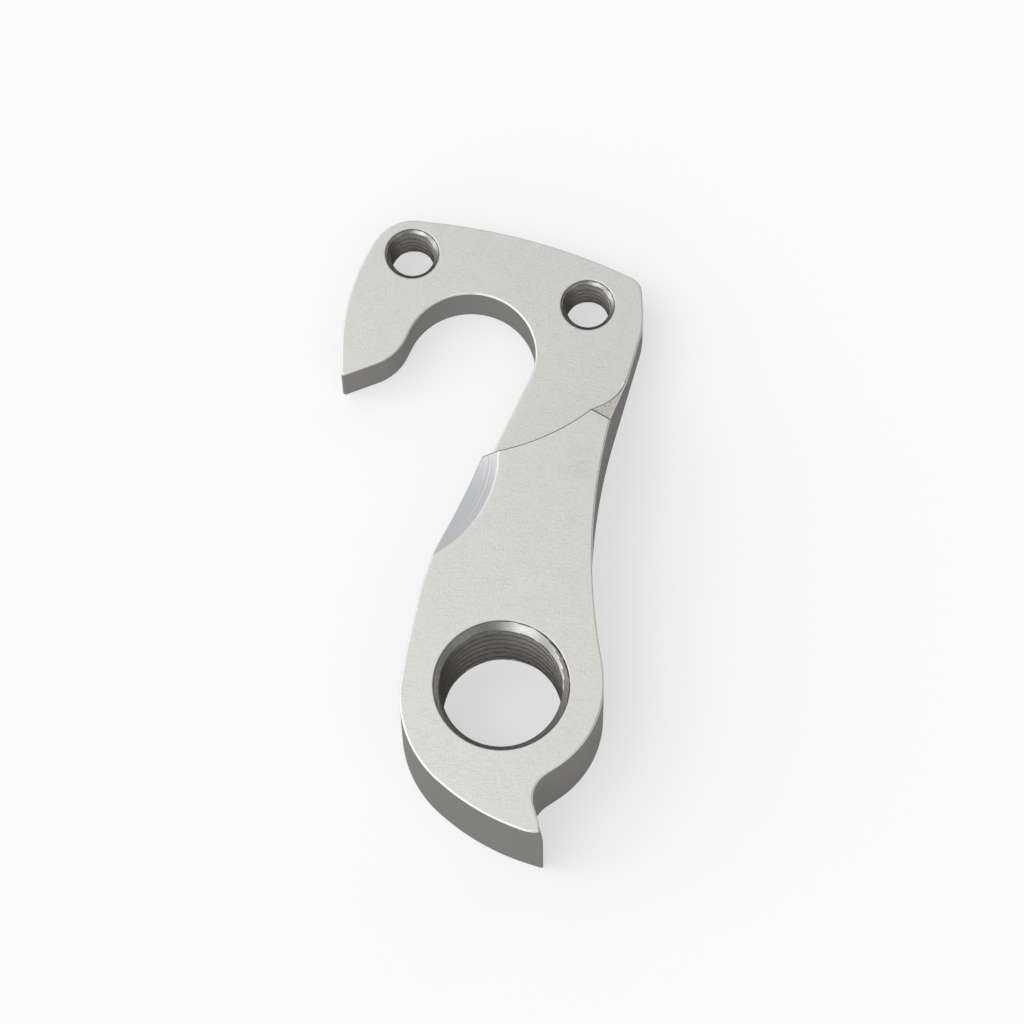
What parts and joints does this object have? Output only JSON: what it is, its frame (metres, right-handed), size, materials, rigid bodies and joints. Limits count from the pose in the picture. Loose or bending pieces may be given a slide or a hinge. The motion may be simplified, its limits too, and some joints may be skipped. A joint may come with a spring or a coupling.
{
  "type": "rear derailleur hanger (replaceable frame dropout)",
  "caption": "One-piece aluminium dropout with an open axle slot, a thin screwed plate, a raised arm with a threaded derailleur eye and a stop claw.",
  "frame": {"origin": "in the middle of the derailleur thread: on its axis, halfway through the arm, and level with the plate's inboard face. The part lies on its flat outboard face at z = -4 mm", "axes": "+Z inboard, towards the wheel (up as it lies), +Y from the derailleur thread up towards the axle, +X towards the rear of the bicycle"},
  "size_m": [0.0233, 0.0515, 0.008],
  "materials": {
    "aluminium": "fine satin, clear, with bright broken edges and milled walls"
  },
  "bodies": {
    "root": {"hanger": "aluminium"}
  },
  "joints": []
}
